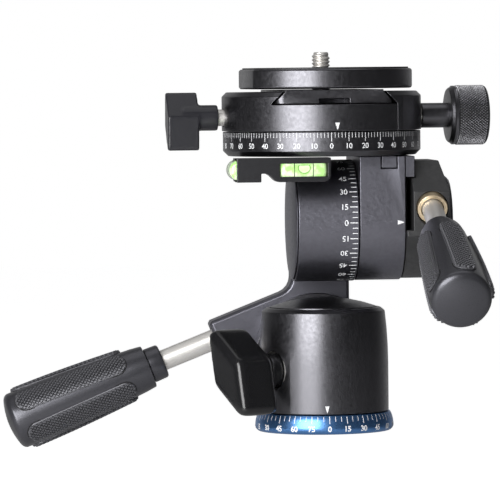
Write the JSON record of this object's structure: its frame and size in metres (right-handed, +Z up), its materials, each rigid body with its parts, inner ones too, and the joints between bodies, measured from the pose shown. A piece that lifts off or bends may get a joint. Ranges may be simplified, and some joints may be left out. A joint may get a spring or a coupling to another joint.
{
  "type": "four-axis tripod head",
  "caption": "Black anodised tripod head with a blue base dial, side-roll and tilt handles, two spirit levels, and a panning dovetail clamp that holds a camera plate.",
  "frame": {"origin": "centre of the base's underside, where the tripod's screw enters", "axes": "+Z up along the pan axis, -Y towards the index marks at the front, +X towards the clamp knob"},
  "size_m": [0.1731, 0.1424, 0.1411],
  "materials": {
    "black_anodised": "fine satin black anodising",
    "violet_black": "satin blue-black anodising",
    "blue_anodised": "bright blue anodising with engraved white marks",
    "steel": "satin turned steel",
    "brass": "turned brass",
    "black_plastic": "moulded black plastic",
    "rubber": "dull black rubber",
    "vial": "clear vial with yellow-green liquid",
    "nylon": "natural nylon"
  },
  "bodies": {
    "base": {"base_dial_ring": "blue_anodised", "pan_spindle": "steel", "spindle_retainer": "steel", "retainer_screw": "steel"},
    "pan_body": {"pan_barrel": "black_anodised", "barrel_dome": "black_anodised", "pan_bush": "brass", "pan_lock_pad": "nylon", "roll_axle": "steel", "roll_axle_nut": "steel"},
    "pan_lock": {"pan_lock_knob": "black_plastic", "pan_lock_screw": "steel"},
    "roll_frame": {"roll_yoke": "violet_black", "roll_washer": "nylon", "tilt_axle": "steel", "tilt_washer": "nylon", "tilt_end_cap": "violet_black"},
    "roll_handle": {"roll_handle_rod": "steel", "roll_handle_grip": "black_plastic", "roll_handle_pad_1": "rubber", "roll_handle_pad_2": "rubber", "roll_handle_pad_3": "rubber", "roll_handle_pad_4": "rubber", "roll_handle_pad_5": "rubber"},
    "tilt_frame": {"tilt_bracket": "violet_black", "bracket_key": "black_anodised", "dial_pin_front": "steel", "dial_pin_back": "steel", "tilt_lock_block": "black_anodised", "handle_bush": "brass", "axle_cap": "black_anodised", "pan_dial": "black_anodised", "top_spindle": "steel", "level_holder": "black_plastic", "level_vial_front": "vial", "level_vial_side": "vial"},
    "tilt_handle": {"tilt_handle_rod": "steel", "tilt_handle_grip": "black_plastic", "tilt_handle_pad_1": "rubber", "tilt_handle_pad_2": "rubber", "tilt_handle_pad_3": "rubber", "tilt_handle_pad_4": "rubber", "tilt_handle_pad_5": "rubber"},
    "clamp": {"clamp_body": "black_anodised", "clamp_rail": "black_anodised", "jaw_guide_pin_front": "steel", "jaw_guide_pin_back": "steel", "top_lock_pad": "brass"},
    "top_lock": {"top_lock_knob": "black_plastic", "top_lock_screw": "steel"},
    "jaw": {"clamp_jaw": "black_anodised"},
    "jaw_knob": {"clamp_knob": "black_anodised", "clamp_screw": "steel"},
    "plate": {"camera_plate": "black_anodised", "plate_foot": "black_anodised", "plate_mat": "rubber"},
    "camera_stud": {"camera_screw": "steel"}
  },
  "joints": [
    {"name": "base_pan", "type": "hinge", "parent": "base", "child": "pan_body", "pos_m": [0, 0, 0], "axis": [0, 0, 1], "continuous": true},
    {"name": "pan_knob_turn", "type": "hinge", "parent": "pan_body", "child": "pan_lock", "pos_m": [0, 0, 0.022], "axis": [-0.866, -0.5, 0], "range_deg": [0, 270]},
    {"name": "side_roll", "type": "hinge", "parent": "pan_body", "child": "roll_frame", "pos_m": [0, 0, 0.0245], "axis": [0, 1, 0], "range_deg": [-30, 90]},
    {"name": "roll_handle_turn", "type": "hinge", "parent": "roll_frame", "child": "roll_handle", "pos_m": [-0.0363, 0.0295, 0.031], "axis": [-0.9304, 0, -0.3665], "range_deg": [0, 270]},
    {"name": "front_tilt", "type": "hinge", "parent": "roll_frame", "child": "tilt_frame", "pos_m": [0, 0, 0.0743], "axis": [1, 0, 0], "range_deg": [-35, 75]},
    {"name": "tilt_handle_turn", "type": "hinge", "parent": "tilt_frame", "child": "tilt_handle", "pos_m": [0.0362, -0.024, 0.0787], "axis": [0, -0.9304, -0.3665], "range_deg": [0, 270]},
    {"name": "clamp_pan", "type": "hinge", "parent": "tilt_frame", "child": "clamp", "pos_m": [0, 0, 0.1063], "axis": [0, 0, 1], "continuous": true},
    {"name": "top_knob_turn", "type": "hinge", "parent": "clamp", "child": "top_lock", "pos_m": [0, 0, 0.1111], "axis": [-0.9986, -0.0523, 0], "range_deg": [0, 270]},
    {"name": "jaw_slide", "type": "slide", "parent": "clamp", "child": "jaw", "axis": [0.9986, 0.0523, 0], "range_m": [0, 0.00375]},
    {"name": "jaw_knob_turn", "type": "hinge", "parent": "jaw", "child": "jaw_knob", "pos_m": [0, 0, 0.1111], "axis": [0.9986, 0.0523, 0], "range_deg": [0, 1080]},
    {"name": "plate_slide", "type": "slide", "parent": "clamp", "child": "plate", "axis": [-0.0523, 0.9986, 0], "range_m": [-0.008, 0.008]},
    {"name": "camera_screw_turn", "type": "hinge", "parent": "plate", "child": "camera_stud", "pos_m": [0, 0, 0.1159], "axis": [0, 0, 1], "continuous": true}
  ],
  "couplings": [
    {"joint": "jaw_knob_turn", "follows": "jaw_slide", "rad_per_m": 5026.5}
  ]
}
